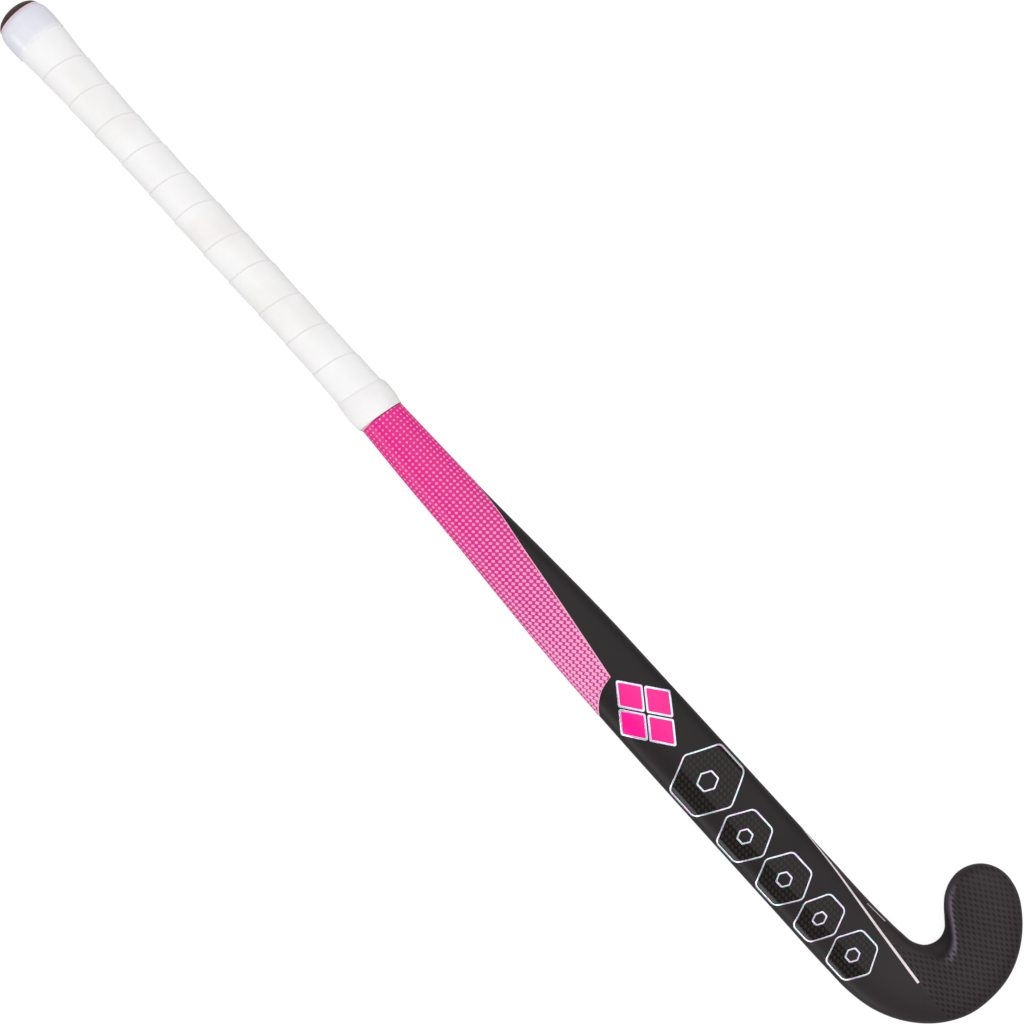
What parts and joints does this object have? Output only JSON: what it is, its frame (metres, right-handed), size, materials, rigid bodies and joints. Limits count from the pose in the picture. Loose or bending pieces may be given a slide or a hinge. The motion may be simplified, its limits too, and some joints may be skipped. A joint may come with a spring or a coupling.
{
  "type": "field hockey stick",
  "caption": "Composite field hockey stick with a bowed flat-faced shaft, curved hook head, spiral-wound grip and printed film graphics.",
  "frame": {"origin": "middle of the footprint, on the surface that the stick lies on", "axes": "+X along the stick from the butt to the head, +Y towards the toe of the hook, +Z out of the rounded back, away from the flat playing face"},
  "size_m": [0.9258, 0.1311, 0.0438],
  "materials": {
    "satin_laminate": "satin charcoal lacquer over carbon and glass laminate",
    "bare_laminate": "bare cured laminate",
    "bladder_nylon": "thin nylon film",
    "core_foam": "rigid moulded foam",
    "cap_rubber": "dark brown moulded rubber, satin",
    "grip_felt": "felt backing with adhesive",
    "grip_cover": "white polyurethane, soft matte",
    "clear_film": "lavender-tinted film tape, semi gloss",
    "end_tape": "white finishing tape",
    "pink_print": "pink halftone print under lacquer",
    "magenta_print": "hot pink print under gloss lacquer",
    "gloss_carbon": "gloss lacquer over carbon weave",
    "silver_foil": "holographic silver foil"
  },
  "bodies": {
    "root": {"composite_shell": "satin_laminate", "centre_web": "bare_laminate", "bladder_toe_side": "bladder_nylon", "bladder_back_side": "bladder_nylon", "head_foam_core": "core_foam", "handle_foam_plug": "core_foam", "end_cap": "cap_rubber", "grip_backing": "grip_felt", "grip_wrap": "grip_cover", "top_tape": "clear_film", "bottom_tape": "end_tape", "pink_film": "pink_print", "diamond_print_1": "magenta_print", "diamond_print_2": "magenta_print", "diamond_print_3": "magenta_print", "diamond_print_4": "magenta_print", "diamond_foil_1": "silver_foil", "diamond_foil_2": "silver_foil", "diamond_foil_3": "silver_foil", "diamond_foil_4": "silver_foil", "hexagon_print_1": "gloss_carbon", "hexagon_print_2": "gloss_carbon", "hexagon_print_3": "gloss_carbon", "hexagon_print_4": "gloss_carbon", "hexagon_print_5": "gloss_carbon", "hexagon_rim_foil_1": "silver_foil", "hexagon_rim_foil_2": "silver_foil", "hexagon_rim_foil_3": "silver_foil", "hexagon_rim_foil_4": "silver_foil", "hexagon_rim_foil_5": "silver_foil", "hexagon_eye_foil_1": "silver_foil", "hexagon_eye_foil_2": "silver_foil", "hexagon_eye_foil_3": "silver_foil", "hexagon_eye_foil_4": "silver_foil", "hexagon_eye_foil_5": "silver_foil", "pinstripe": "silver_foil", "pinstripe_short": "silver_foil"}
  },
  "joints": []
}
